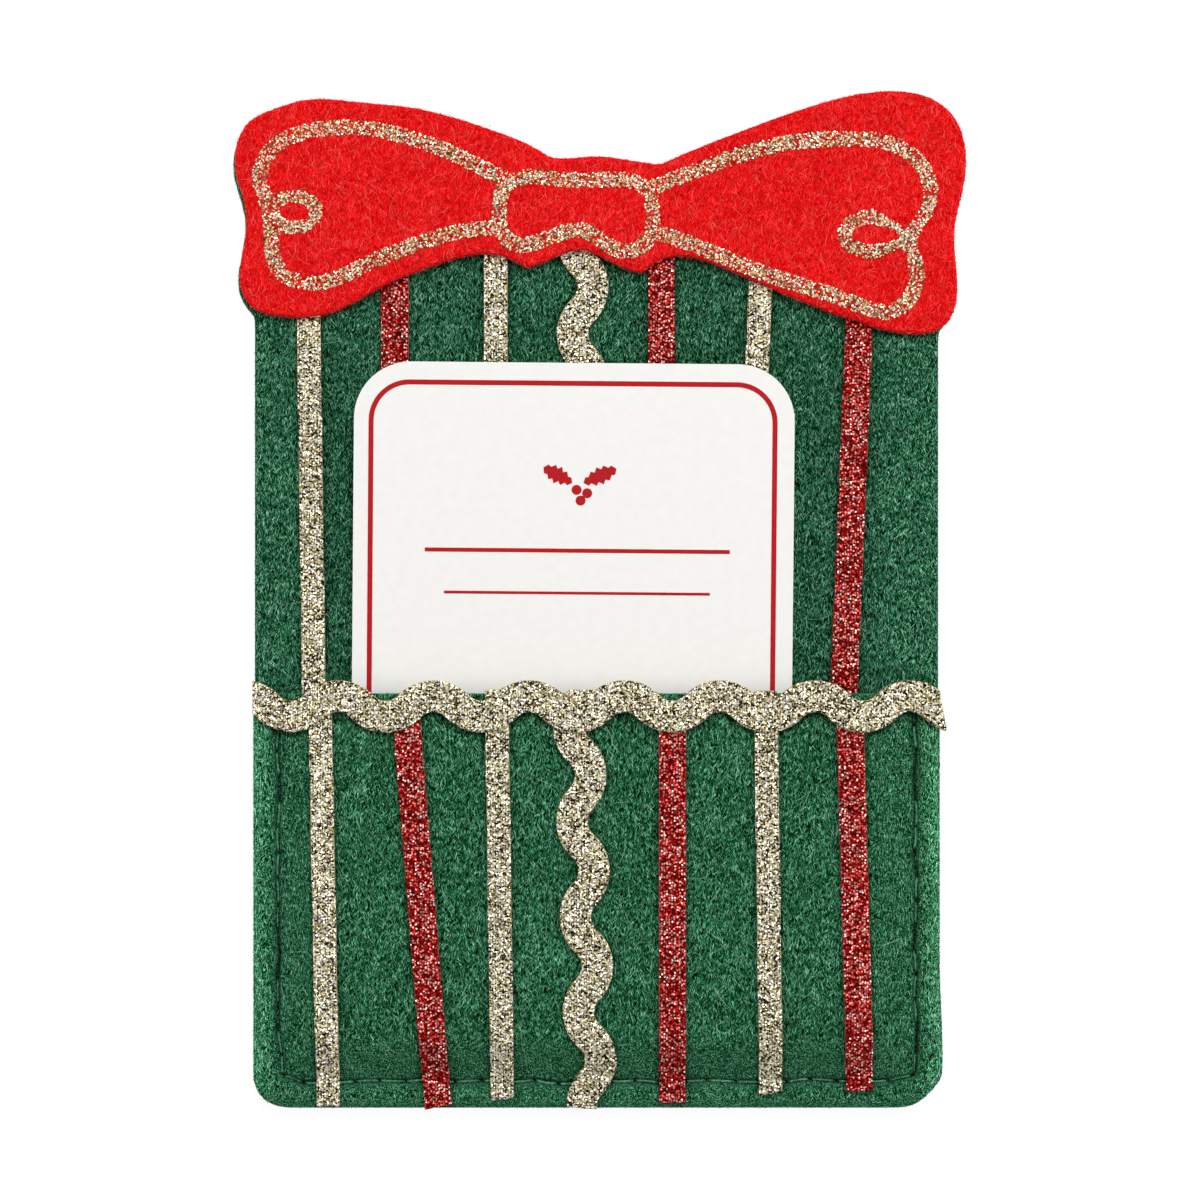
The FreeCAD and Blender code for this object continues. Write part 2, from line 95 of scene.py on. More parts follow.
def copy_of(name, *cad_names):
    """A new piece from copies of CAD nodes in their place, joined and with their triangles merged."""
    bpy.ops.object.select_all(action="DESELECT")
    for cad in cad_names:
        piece = bpy.data.objects.new(name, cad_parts[cad].data.copy())
        bpy.context.collection.objects.link(piece)
        piece.select_set(True)
        bpy.context.view_layer.objects.active = piece
    if len(cad_names) > 1:
        bpy.ops.object.join()
    piece = bpy.context.view_layer.objects.active
    piece.name = name
    piece.data.materials.clear()
    bpy.ops.object.mode_set(mode="EDIT")
    bpy.ops.mesh.select_all(action="SELECT")
    bpy.ops.mesh.remove_doubles(threshold=WELD * MM)
    bpy.ops.object.mode_set(mode="OBJECT")
    return piece


def apply(piece, kind, **settings):
    """Adds a modifier with its settings to a piece and applies it."""
    modifier = piece.modifiers.new(kind.lower(), kind)
    for name, value in settings.items():
        setattr(modifier, name, value)
    only(piece)
    bpy.ops.object.modifier_apply(modifier=modifier.name)


def felt_sheet(name, voxel, *cad_names):
    """A felt sheet in its CAD nodes' place, meshed evenly and with softened edges."""
    piece = copy_of(name, *cad_names)
    apply(piece, "REMESH", mode="VOXEL", voxel_size=voxel * MM, use_smooth_shade=True)
    apply(piece, "SMOOTH", factor=0.5, iterations=3)
    return piece


def points_of(piece):
    """A piece's vertices in millimetres, as columns x, y and z."""
    flat = np.empty(3 * len(piece.data.vertices), np.float32)
    piece.data.vertices.foreach_get("co", flat)
    return flat.reshape(-1, 3).T.astype(float) / MM


def move_points(piece, x, y, z):
    """Puts a piece's vertices at new places, in millimetres."""
    piece.data.vertices.foreach_set("co", (np.stack([x, y, z], 1) * MM).astype(np.float32).ravel())
    piece.data.update()


def seam_holes():
    """The needle holes from the mouth's left end round to its right end, with corners turned by hand."""
    side = HALF_WIDTH - SEAM_INSET
    low = FOOT + SEAM_INSET
    bends = [(-side, SEAM_TOP)]
    bends += [(inward - side, low + up) for inward, up in LEFT_CORNER]
    bends += [(side - inward, low + up) for inward, up in RIGHT_CORNER]
    bends.append((side, SEAM_TOP))
    places = bends[:1]
    for (x0, y0), (x1, y1) in zip(bends, bends[1:]):
        count = max(1, round(math.hypot(x1 - x0, y1 - y0) / STITCH))
        for step in range(1, count + 1):
            places.append((x0 + (x1 - x0) * step / count, y0 + (y1 - y0) * step / count))
    sway = np.random.default_rng(HOLE_SEED)
    return [(x + sway.normal(0, HOLE_SWAY), y + sway.normal(0, HOLE_SWAY)) for x, y in places]


holes = seam_holes()


def valley(x, y, half_width):
    """The dent along the seam, from 0 to 1 at the stitches."""
    nearest = np.full(len(x), FAR_AWAY)
    for (x0, y0), (x1, y1) in zip(holes, holes[1:]):
        run_x, run_y = x1 - x0, y1 - y0
        share = ((x - x0) * run_x + (y - y0) * run_y) / (run_x**2 + run_y**2)
        share = np.clip(share, 0, 1)
        nearest = np.minimum(nearest, (x - x0 - share * run_x) ** 2 + (y - y0 - share * run_y) ** 2)
    return np.exp(-nearest / half_width**2)


def cut_by_hand(x, y):
    """New places for the panels' lower right, where the side stands out and the corner is taken off."""
    low = np.clip((SIDE_OUT_TOP - y) / SIDE_OUT_RUN, 0, 1) * np.clip((y - SIDE_OUT_FOOT) / SIDE_OUT_END, 0, 1)
    out = SIDE_OUT * low * low * (3 - 2 * low) * np.clip((x - SIDE_OUT_FROM) / SIDE_OUT_RUN, 0, 1)
    aside = ((x - CORNER_AT[0]) / CORNER_REACH[0]) ** 2
    above = ((y - CORNER_AT[1]) / CORNER_REACH[1]) ** 2
    off = CORNER_OFF * np.exp(-aside - above)
    return x + out - off, y + off


def fade(distance, reach, power=2):
    """From 1 where there is no distance to 0 well past the reach."""
    return np.exp(-((distance / reach) ** power))


def beside(x, y, cad_names):
    """How near the felt lies to the trims glued on it, from 1 under them to 0 about a millimetre away."""
    spots = []
    faces = []
    for name in cad_names:
        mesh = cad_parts[name].data
        upper = [face for face in mesh.polygons if face.normal.z > FACES_UP]
        faces += [[len(spots) + at for at in face.vertices] for face in upper]
        spots += [Vector((at.co.x, at.co.y, 0.0)) / MM for at in mesh.vertices]
    plan = BVHTree.FromPolygons(spots, faces)
    gap = np.array([plan.find_nearest((across, up, 0.0))[3] for across, up in zip(x, y)])
    return fade(gap, TRIM_SHADE_REACH)


def back_side_highlight(x):
    """How much paler the back panel's felt is painted towards its outer sides: a painted highlight."""
    return BACK_SIDE_HIGHLIGHT * np.clip((np.abs(x) - BACK_SIDE_HIGHLIGHT_FROM) / BACK_SIDE_HIGHLIGHT_RUN, 0, 1)


def uneven(x, y, reach):
    """The slow rise and fall of a felt sheet, from about -1 to 1, over a reach in millimetres.

    Its two pairs of crossed waves have no common length, so nothing repeats.
    """
    slow = np.sin(x / reach + 1.3) * np.cos(y / (1.3 * reach) - 0.4)
    quick = np.sin((x + 0.6 * y) / (0.47 * reach) + 2.1) * np.cos((y - 0.4 * x) / (0.38 * reach))
    return 0.6 * slow + 0.4 * quick


class Shade:
    """A value in a material's nodes. Sums on it add Math nodes, and node() adds any other kind."""

    def __init__(self, tree, socket):
        self.tree = tree
        self.socket = socket

    def node(self, kind, settings, sockets, output=0):
        made = self.tree.nodes.new("ShaderNode" + kind)
        for name, value in settings.items():
            if name == "stops":
                ramp = made.color_ramp
                while len(ramp.elements) < len(value):
                    ramp.elements.new(1.0)
                for element, (position, colour) in zip(ramp.elements, value):
                    element.position = position
                    element.color = (*colour, 1.0)
            else:
                setattr(made, name, value)
        for name, value in sockets.items():
            if isinstance(value, Shade):
                self.tree.links.new(value.socket, made.inputs[name])
            else:
                made.inputs[name].default_value = value
        return Shade(self.tree, made.outputs[output])

    def maths(self, operation, first, second):
        return self.node("Math", {"operation": operation}, {0: first, 1: second})

    def __add__(self, other):
        return self.maths("ADD", self, other)

    def __sub__(self, other):
        return self.maths("SUBTRACT", self, other)

    def __rsub__(self, other):
        return self.maths("SUBTRACT", other, self)

    def __mul__(self, other):
        return self.maths("MULTIPLY", self, other)

    __radd__ = __add__
    __rmul__ = __mul__


def material(name, roughness, **constants):
    """A new material: its Principled shader with constant values set, and the object's own coordinates."""
    made = bpy.data.materials.new(name)
    made.use_nodes = True
    tree = made.node_tree
    shader = tree.nodes["Principled BSDF"]
    shader.inputs["Roughness"].default_value = roughness
    for socket, value in constants.items():
        shader.inputs[socket.replace("_", " ")].default_value = value
    place = Shade(tree, tree.nodes.new("ShaderNodeTexCoord").outputs["Object"])
    return made, shader, place


def feed(shader, socket, shade):
    """Links a value to one of the shader's sockets."""
    shade.tree.links.new(shade.socket, shader.inputs[socket])


STRAND_TURNS = (66, 80, 93, 107, 130, 40)
STRAND_SIZE = (0.7, 0.078, 0.078)
STRAND_SHIFT = (11.0, 17.0, 0.0)
STRAND_WANDER = 0.12
WANDER_SCALE = 900.0
STRAND_RELIEF = 0.12
STRAND_CONTRAST = 2.5
CLOUD_CONTRAST = 0.05
CLOUD_SCALE = 300.0
PAINTED_LIGHT_CONTRAST = 0.85


def felt(name, tones, sheen):
    """Pressed felt: short fine strands that lie in the sheet in several directions, with dark gaps."""
    made, shader, place = material(
        name,
        roughness=0.9,
        Specular_IOR_Level=0.04,
        Sheen_Weight=0.04,
        Sheen_Roughness=0.4,
        Sheen_Tint=(*sheen, 1.0),
    )
    wander = place.node("TexNoise", {}, {"Vector": place, "Scale": WANDER_SCALE, "Detail": 0.0}, "Color")
    wander = place.node("VectorMath", {"operation": "SCALE"}, {0: wander, "Scale": STRAND_WANDER * MM})
    bent = place.node("VectorMath", {"operation": "ADD"}, {0: place, 1: wander})
    top = None
    for layer, degrees in enumerate(STRAND_TURNS):
        laid = place.node(
            "Mapping",
            {"vector_type": "TEXTURE"},
            {
                "Vector": bent,
                "Location": [shift * layer * MM for shift in STRAND_SHIFT],
                "Rotation": (0.0, 0.0, math.radians(degrees)),
                "Scale": [size * MM for size in STRAND_SIZE],
            },
        )
        strand = place.node("TexNoise", {}, {"Vector": laid, "Scale": 1.0, "Detail": 0.0})
        top = strand if top is None else place.maths("MAXIMUM", top, strand)
    cloud = place.node("TexNoise", {}, {"Vector": place, "Scale": CLOUD_SCALE, "Detail": 1.0})
    height = STRAND_CONTRAST * (top - 0.5) + CLOUD_CONTRAST * (cloud - 0.5)
    # Painted light: the attribute read here makes the tone paler for painted highlights and darker for
    # painted shade.
    worn = place.node("Attribute", {"attribute_name": "worn"}, {}, "Fac")
    tone = place.node("ValToRGB", {"stops": tones}, {"Fac": height})
    tone = place.node("VectorMath", {"operation": "SCALE"}, {0: tone, "Scale": 1.0 + PAINTED_LIGHT_CONTRAST * worn})
    feed(shader, "Base Color", tone)
    bump = place.node("Bump", {}, {"Strength": 0.3, "Distance": STRAND_RELIEF * MM, "Height": height})
    feed(shader, "Normal", bump)
    return made


def tinted(name, tones, roughness, **constants):
    """A finish for many like parts, each in its own tone."""
    made, shader, place = material(name, roughness, **constants)
    tint = place.node("Attribute", {"attribute_name": "tint"}, {}, "Fac")
    feed(shader, "Base Color", place.node("ValToRGB", {"stops": tones}, {"Fac": tint}))
    return made


def fibre_finish(name, tones):
    """Loose felt fibres, dull and each in its own tone."""
    return tinted(name, tones, roughness=0.8, Specular_IOR_Level=0.08)


def unit(rows):
    """Rows of vectors at length 1."""
    return rows / np.linalg.norm(rows, axis=1, keepdims=True)


def set_points(piece, name, values):
    """Gives a piece one number per vertex for its material to read."""
    numbers = piece.data.attributes.new(name, "FLOAT", "POINT")
    numbers.data.foreach_set("value", np.asarray(values, np.float32))


def bake_map(piece, count, spots):
    """Gives each of a piece's like parts a cell of its own in the map that the export bakes through."""
    across = math.ceil(math.sqrt(count))
    cells = np.stack([np.arange(count) % across, np.arange(count) // across], 1)
    places = ((cells[:, None] + np.array(spots)[None]) / across).reshape(-1, 2)
    corner = np.empty(len(piece.data.loops), np.int32)
    piece.data.loops.foreach_get("vertex_index", corner)
    made = piece.data.uv_layers.new(name="OFBake")
    made.data.foreach_set("uv", places[corner].astype(np.float32).ravel())


def many_parts(name, finish, corners, faces, tint, spots):
    """One piece made of many like parts.

    corners holds, for each corner of a part, its place in every part, in millimetres. faces and spots are
    those of one part, and its spots lie in its own cell of the bake map.
    """
    count = len(tint)
    size = len(corners)
    places = np.stack(corners, 1).reshape(-1, 3) * MM
    starts = range(0, size * count, size)
    all_faces = [tuple(start + at for at in face) for start in starts for face in faces]
    mesh = bpy.data.meshes.new(name)
    mesh.from_pydata(places.tolist(), [], all_faces)
    mesh.materials.append(finish)
    piece = bpy.data.objects.new(name, mesh)
    bpy.context.collection.objects.link(piece)
    set_points(piece, "tint", np.repeat(tint, size))
    bake_map(piece, count, spots)
    return piece


CELL_START = 0.2
CELL_WIDTH = 0.6
SHORT_FIBRES = {"reach": (0.4, 1.2), "bends": 1, "thin": (0.024, 0.04)}
LONG_FIBRES = {"reach": (1.6, 4.2), "bends": 3, "thin": (0.026, 0.036)}
UNDERSIDE = -0.3
LEVEL = 0.9
UPRIGHT = 0.8
RIM_FACING = 0.75
RIM_LENGTH = 0.35
RIM_LEAN = 0.15
FACE_LEAN = 0.05
FIBRE_TURN = 0.8
FIBRE_BEND = 0.12
FIBRE_ARCH = (0.03, 0.12)
FIBRE_SINK = 0.02
FIBRE_LOWEST = 0.04
ROOT_SWAY = 0.3
OVERHANG_LENGTH = 0.3
LOOK_FROM = (0.0, 0.0, 0.6)
LOOK_DOWN = 1.4
PAINTED_LIGHT_TINT = 0.3


def face_facts(sheet):
    """The centres of a sheet's faces in millimetres, their normals and their areas."""
    faces = sheet.data.polygons
    centre = np.empty(3 * len(faces), np.float32)
    normal = np.empty(3 * len(faces), np.float32)
    area = np.empty(len(faces), np.float32)
    faces.foreach_get("center", centre)
    faces.foreach_get("normal", normal)
    faces.foreach_get("area", area)
    return centre.reshape(-1, 3).astype(float) / MM, normal.reshape(-1, 3).astype(float), area


def shorten_overhangs(sheet, flat, root, along, length):
    """Shortens the fibres of a sheet's face that would reach out past its edge."""
    below = BVHTree.FromObject(sheet, bpy.context.evaluated_depsgraph_get())
    down = Vector((0, 0, -1))
    for fibre in np.flatnonzero(flat):
        for end in (-0.5, 0.5):
            tip = root[fibre] + end * length[fibre] * along[fibre]
            if below.ray_cast(Vector(tip + np.array(LOOK_FROM)) * MM, down, LOOK_DOWN * MM)[0] is None:
                length[fibre] *= OVERHANG_LENGTH
                break


def spindle_faces(bends):
    """The faces of one fibre: a point at each end and a ring of three corners at each bend."""
    last = 3 * bends + 1
    faces = [(0, 2, 1), (0, 3, 2), (0, 1, 3)]
    for at in range(1, last - 3, 3):
        for here, following in ((0, 1), (1, 2), (2, 0)):
            faces.append((at + here, at + following, at + following + 3, at + here + 3))
    return faces + [(last, last - 3, last - 2), (last, last - 2, last - 1), (last, last - 1, last - 3)]


def nap(sheet, name, finish, count, seed, keep, reach, bends, thin, worn=lambda x, y: 0 * x):
    """Loose fibres on a sheet's face and round its cut edge: thin bent spindles, laid at random."""
    rng = np.random.default_rng(seed)
    centre, normal, area = face_facts(sheet)
    weight = area * keep(*centre.T, normal[:, 2])
    picked = rng.choice(len(area), count, p=weight / weight.sum())
    up = normal[picked]
    rim = np.abs(up[:, 2]) < RIM_FACING
    spare = np.where(np.abs(up[:, 2:]) < UPRIGHT, [[0.0, 0.0, 1.0]], [[0.0, 1.0, 0.0]])
    across = unit(np.cross(up, spare))
    other = np.cross(up, across)
    turn = math.pi / 2 + rng.normal(0, FIBRE_TURN, (count, 1))
    along = np.cos(turn) * across + np.sin(turn) * other
    lean = np.where(rim, rng.uniform(0.0, RIM_LEAN, count), rng.uniform(0.0, FACE_LEAN, count))
    along = unit(along + lean[:, None] * up)
    side = unit(np.cross(up, along))
    length = rng.uniform(*reach, (count, 1)) * np.where(rim, RIM_LENGTH, 1.0)[:, None]
    bend = rng.normal(0, FIBRE_BEND, (count, 1)) * length
    arch = rng.uniform(*FIBRE_ARCH, (count, 1))
    thick = rng.uniform(*thin, (count, 1))
    root = centre[picked] + rng.uniform(-ROOT_SWAY, ROOT_SWAY, (count, 1)) * across
    root = root + rng.uniform(-ROOT_SWAY, ROOT_SWAY, (count, 1)) * other
    shorten_overhangs(sheet, ~rim, root, along, length)
    corners = []
    spots = []
    for share in np.linspace(0, 1, bends + 2):
        hump = 4 * share * (1 - share)
        spot = root + (share - 0.5) * length * along + bend * hump * side + (arch * hump - FIBRE_SINK) * up
        spot[:, 2] = np.maximum(spot[:, 2], FIBRE_LOWEST)
        cell_x = CELL_START + CELL_WIDTH * share
        if share in (0.0, 1.0):
            corners.append(spot)
            spots.append((cell_x, 0.5))
        else:
            for corner in range(3):
                angle = math.radians(90 + 120 * corner)
                corners.append(spot + thick * (math.cos(angle) * side + math.sin(angle) * up))
                spots.append((cell_x, CELL_START + CELL_WIDTH * corner / 2))
    # Each fibre's tone is shifted by the painted light at its root: paler for painted highlight, darker for
    # painted shade.
    tint = rng.uniform(0, 1, count) + PAINTED_LIGHT_TINT * worn(root[:, 0], root[:, 1])
    return many_parts(name, finish, corners, spindle_faces(bends), tint, spots)


GREEN_SHEEN = (0.3, 0.8, 0.5)
GREEN_TONES = [
    (0.153, (0.0004, 0.0008, 0.0003)),
    (0.343, (0.0002, 0.006, 0.0010)),
    (0.440, (0.0025, 0.056, 0.0155)),
    (0.538, (0.016, 0.176, 0.065)),
    (0.658, (0.080, 0.385, 0.187)),
    (0.825, (0.390, 0.780, 0.530)),
]
GREEN_FIBRES = [
    (0.0, (0.003, 0.055, 0.017)),
    (0.5, (0.019, 0.150, 0.060)),
    (0.85, (0.075, 0.295, 0.150)),
    (1.0, (0.300, 0.530, 0.370)),
]
GREEN_STRAYS = [
    (0.0, (0.008, 0.100, 0.036)),
    (0.6, (0.060, 0.270, 0.140)),
    (1.0, (0.360, 0.620, 0.450)),
]
BACK_SHADE = (0.90, 0.83, 0.89)
OPEN_FOOT = MOUTH - 3.5
OPEN_TOP = 50
BARE_FOOT = -9
BARE_TOP = 34
BARE_LEFT = -32
BARE_RIGHT = 25.5


def in_shade(tones):
    """The same tones on the back panel, which lies lower and gets a little less light."""
    return [(at, [part * share for part, share in zip(tone, BACK_SHADE)]) for at, tone in tones]


def open_back(x, y, z, up):
    """The back panel's short fibres lie between pocket and bow, and round the whole cut edge."""
    between = (y > OPEN_FOOT) & (y < OPEN_TOP)
    return (up > UNDERSIDE) * np.where(between | (up < RIM_FACING), 1.0, 0.0)


def bare_sides(x, y, z, up):
    """Its long fibres lie on the flat felt to the left and the right of the card."""
    return (up > LEVEL) * (y > BARE_FOOT) * (y < BARE_TOP) * ((x < BARE_LEFT) | (x > BARE_RIGHT))


back_green_felt = felt("green felt of the back", in_shade(GREEN_TONES), GREEN_SHEEN)
back_green_fibre = fibre_finish("green fibres of the back", in_shade(GREEN_FIBRES))
back_green_stray = fibre_finish("green stray fibres of the back", in_shade(GREEN_STRAYS))

back_panel = felt_sheet("back_panel_felt", PANEL_VOXEL, "back_panel", "bobbin_thread")
x, y, z = points_of(back_panel)
swollen = z + PANEL_SWELL * uneven(x, y, PANEL_SWELL_REACH)
grooved = z + BOBBIN_VALLEY * valley(x, y, BOBBIN_VALLEY_WIDTH) * (y < BOBBIN_VALLEY_TOP)
move_points(back_panel, *cut_by_hand(x, y), np.where(z > PANEL_MIDDLE, swollen, grooved))
back_trims = [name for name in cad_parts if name.startswith("back_") and name != "back_panel"]
# Painted light on the felt, and below on its short fibres: a painted highlight towards the outer sides and
# painted shade beside the trims.
set_points(back_panel, "worn", back_side_highlight(x) - TRIM_SHADE * beside(x, y, back_trims))
back_panel.data.materials.append(back_green_felt)
back_nap = nap(
    back_panel,
    "back_panel_nap",
    back_green_fibre,
    count=30000,
    seed=11,
    keep=open_back,
    worn=lambda x, y: back_side_highlight(x) - TRIM_SHADE_ON_FIBRES * beside(x, y, back_trims),
    **SHORT_FIBRES,
)
back_strays = nap(
    back_panel,
    "back_panel_strays",
    back_green_stray,
    count=330,
    seed=17,
    keep=bare_sides,
    **LONG_FIBRES,
)
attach(back_panel, "holder")
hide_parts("back_panel")
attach(back_nap, "holder")
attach(back_strays, "holder")

# Trims on the back panel: strips and a ric-rac cut from glitter sheet, pale card with flakes bonded on top.
# They are glued down side by side, from under the bow to inside the pocket.
FLAKE = 0.17
FLAKE_TILT = 1.1
DOT = 0.31
DOT_RADIUS = 0.42
DOT_SHARPNESS = 12.0
FACET = 0.27
FACET_SWAY = 0.05
TOP_FACING = 0.4
# Flake tones run from near black to near white, with paler dots: the dark ones are painted shade on flakes
# turned from the light, the pale ones and the dots painted glints. The flakes' tilts are real.
GOLD_TONES = [
    (0.00, (0.002, 0.001, 0.0003)),
    (0.34, (0.018, 0.010, 0.0015)),
    (0.46, (0.330, 0.240, 0.055)),
    (0.62, (0.870, 0.760, 0.430)),
    (1.00, (1.000, 0.950, 0.770)),
]
GOLD_DOTS = [
    (0.00, (0.002, 0.001, 0.0002)),
    (0.24, (0.016, 0.010, 0.002)),
    (0.34, (0.380, 0.280, 0.075)),
    (0.46, (0.960, 0.870, 0.610)),
    (1.00, (1.000, 1.000, 0.980)),
]
RED_TONES = [
    (0.00, (0.050, 0.0002, 0.0002)),
    (0.50, (0.210, 0.002, 0.002)),
    (0.85, (0.450, 0.012, 0.012)),
    (1.00, (0.700, 0.060, 0.050)),
]
RED_DOTS = [
    (0.00, (0.060, 0.0002, 0.0002)),
    (0.35, (0.330, 0.010, 0.009)),
    (0.55, (0.940, 0.160, 0.125)),
    (0.80, (1.000, 0.500, 0.430)),
    (1.00, (1.000, 0.800, 0.740)),
]


def glitter(name, tones, dots, metallic):
    """Glitter sheet: a bed of fine flakes with real tilts and tones painted as glints and shade, and larger
    ones mostly painted as glints.
    """
    made, shader, place = material(name, roughness=0.35, Metallic=metallic)
    flat = {"voronoi_dimensions": "2D"}
    bed = place.node("TexVoronoi", flat, {"Vector": place, "Scale": 1 / (FLAKE * MM)}, "Color")
    parts = [bed.node("SeparateColor", {}, {"Color": bed}, output) for output in range(3)]
    bed = place.node("ValToRGB", {"stops": tones}, {"Fac": parts[0]})
    dot = place.node("TexVoronoi", flat, {"Vector": place, "Scale": 1 / (DOT * MM)})
    light = Shade(place.tree, dot.socket.node.outputs["Color"])
    light = place.node("SeparateColor", {}, {"Color": light})
    light = place.node("ValToRGB", {"stops": dots}, {"Fac": light})
    clamped = {"operation": "MULTIPLY", "use_clamp": True}
    inside = place.node("Math", clamped, {0: DOT_RADIUS - dot, 1: DOT_SHARPNESS})
    feed(shader, "Base Color", place.node("Mix", {"data_type": "RGBA"}, {0: inside, 6: bed, 7: light}, 2))
    tilts = {axis: FLAKE_TILT * (part - 0.5) for axis, part in zip("XY", parts[1:])}
    tilt = place.node("CombineXYZ", {}, tilts)
    surface = Shade(place.tree, place.tree.nodes.new("ShaderNodeNewGeometry").outputs["Normal"])
    leaned = place.node("VectorMath", {"operation": "ADD"}, {0: surface, 1: tilt})
    feed(shader, "Normal", place.node("VectorMath", {"operation": "NORMALIZE"}, {0: leaned}))
    return made


def mottled(name, low, high, scale, detail, roughness, **constants):
    """A finish that wanders between two tones, its shader and the noise that it follows."""
    made, shader, place = material(name, roughness, **constants)
    noise = place.node("TexNoise", {}, {"Vector": place, "Scale": scale, "Detail": detail})
    feed(shader, "Base Color", place.node("ValToRGB", {"stops": [low, high]}, {"Fac": noise}))
    return made, shader, noise


def card_edge(name, deep, pale):
    """The cut side of a glitter sheet: pale pressed paper with fine specks."""
    return mottled(name, (0.35, deep), (0.65, pale), scale=4200.0, detail=2.0, roughness=0.8)[0]


def trim(name, cad, finishes, seed):
    """A glitter trim in its CAD node's place, with a top of small uneven facets and plain cut sides."""
    piece = copy_of(name, cad)
    apply(piece, "REMESH", mode="VOXEL", voxel_size=FACET * MM)
    apply(piece, "TRIANGULATE")
    for finish in finishes:
        piece.data.materials.append(finish)
    for face in piece.data.polygons:
        face.select = face.normal.z > TOP_FACING
        face.material_index = 0 if face.select else 1
    only(piece)
    bpy.ops.object.mode_set(mode="EDIT")
    bpy.ops.transform.vertex_random(
        offset=FACET_SWAY * MM, uniform=0.0, normal=0.5, seed=seed, wait_for_input=False
    )
    bpy.ops.object.mode_set(mode="OBJECT")
    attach(piece, "holder")
    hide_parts(cad)
    return piece


gold_edge = card_edge("gold sheet edge", (0.28, 0.20, 0.06), (0.62, 0.50, 0.24))
red_edge = card_edge("red sheet edge", (0.22, 0.01, 0.01), (0.55, 0.08, 0.07))
finishes_of = {
    "gold_glitter": [glitter("gold glitter", GOLD_TONES, GOLD_DOTS, metallic=0.8), gold_edge],
    "red_glitter": [glitter("red glitter", RED_TONES, RED_DOTS, metallic=1.0), red_edge],
}
trim_slots = {
    "gold_left": "gold_glitter",
    "red_left": "red_glitter",
    "gold_middle": "gold_glitter",
    "ricrac": "gold_glitter",
    "red_middle": "red_glitter",
    "gold_right": "gold_glitter",
    "red_right": "red_glitter",
}
for seed, (place_name, slot) in enumerate(trim_slots.items()):
    back_trim = trim("back_" + place_name + "_trim", "back_" + place_name, finishes_of[slot], seed)

# Bow: one sheet of red felt cut by hand, glued on over the heads of the trims.
# Its underside lies hollow over each trim, as in the CAD node that it is copied from.
# Loose fibres lie on its face and round its cut edge.
BOW_VOXEL = 0.35
BOW_MIDDLE = 2.4
BOW_SWELL = 0.06
BOW_SWELL_REACH = 6.0
RED_SHEEN = (0.9, 0.4, 0.4)
RED_FELT_TONES = [
    (0.153, (0.420, 0.0001, 0.0002)),
    (0.343, (0.720, 0.0009, 0.0013)),
    (0.440, (0.880, 0.0040, 0.0050)),
    (0.538, (0.980, 0.0095, 0.0115)),
    (0.658, (1.000, 0.025, 0.027)),
    (0.825, (1.000, 0.095, 0.090)),
]
RED_FIBRES = [
    (0.0, (0.620, 0.002, 0.003)),
    (0.5, (0.890, 0.014, 0.015)),
    (0.80, (1.000, 0.055, 0.052)),
    (1.0, (1.000, 0.220, 0.190)),
]
red_felt = felt("red felt", RED_FELT_TONES, RED_SHEEN)
red_fibre = fibre_finish("red fibres", RED_FIBRES)
bow = felt_sheet("bow_felt", BOW_VOXEL, "bow")
x, y, z = points_of(bow)
move_points(bow, x, y, np.where(z > BOW_MIDDLE, z + BOW_SWELL * uneven(x, y, BOW_SWELL_REACH), z))
bow.data.materials.append(red_felt)
bow_nap = nap(
    bow,
    "bow_nap",
    red_fibre,
    count=15500,
    seed=23,
    keep=lambda x, y, z, up: up > UNDERSIDE,
    reach=(0.6, 2.3),
    bends=2,
    thin=(0.02, 0.036),
)
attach(bow, "holder")
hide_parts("bow")
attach(bow_nap, "holder")

# Bow contour: gold flakes printed on the bow with a thin bed of glue, as two loops with curls and the knot.
# The flakes lie scattered, so the red felt shows between them.
# Each flake gets a tone at random from near black to near white: painted shade on flakes turned from the
# light and painted glints on those that catch it, besides their real tilts.
CONTOUR_TONES = [
    (0.00, (0.040, 0.012, 0.003)),
    (0.24, (0.250, 0.140, 0.030)),
    (0.44, (0.760, 0.560, 0.190)),
    (0.66, (1.000, 0.910, 0.590)),
    (1.00, (1.000, 1.000, 0.970)),
]
FLAKES = 11800
FLAKE_SEED = 31
FLAKE_LEVELS = (3.03, 3.16)
FLAKE_RADII = (0.1, 0.15)
FLAKE_LEAN = 0.28
FLAKE_SIDE = (1.0, 0.3, 0.0)
FLAKE_TOP = 0.025
FLAKE_UNDER = 0.035
FLAKE_FACES = [(0, 1, 2, 3), (1, 0, 4), (2, 1, 4), (3, 2, 4), (0, 3, 4)]
FLAKE_SPOTS = [(0.2, 0.2), (0.8, 0.2), (0.8, 0.8), (0.2, 0.8), (0.5, 0.5)]
LEFT_CURL = (-37.1, 47.7)
LEFT_CURL_RADIUS = 3.3
LEFT_CURL_FADE = 0.8
LEFT_CURL_END = 2.9
LEFT_CURL_END_RUN = 0.9
LEFT_CURL_NARROWED = 0.09
LEFT_CURL_FLATTENED = 0.16
LEFT_CURL_LOWERED = 0.15
RIGHT_CURL = (34.3, 44.8)
RIGHT_CURL_HALF = (5.2, 3.4)
POINT_FROM = -0.5
POINT_RUN = 5.3
POINT_FLATTENED = 0.7
POINT_LOWERED = 0.45
LINE_HALF_WIDTH = 1.0
LINE_HEIGHTS = (39.9, 44.1, 46.2, 50.6)
LINE_PLACES = (39.4, 39.0, 39.6, 40.9)
BEND_HEIGHTS = (39.5, 42.0, 43.3, 45.6, 47.0, 48.6, 51.0)
LINE_BENDS = (0.0, -0.3, -0.6, -0.35, 0.25, 0.4, 0.0)


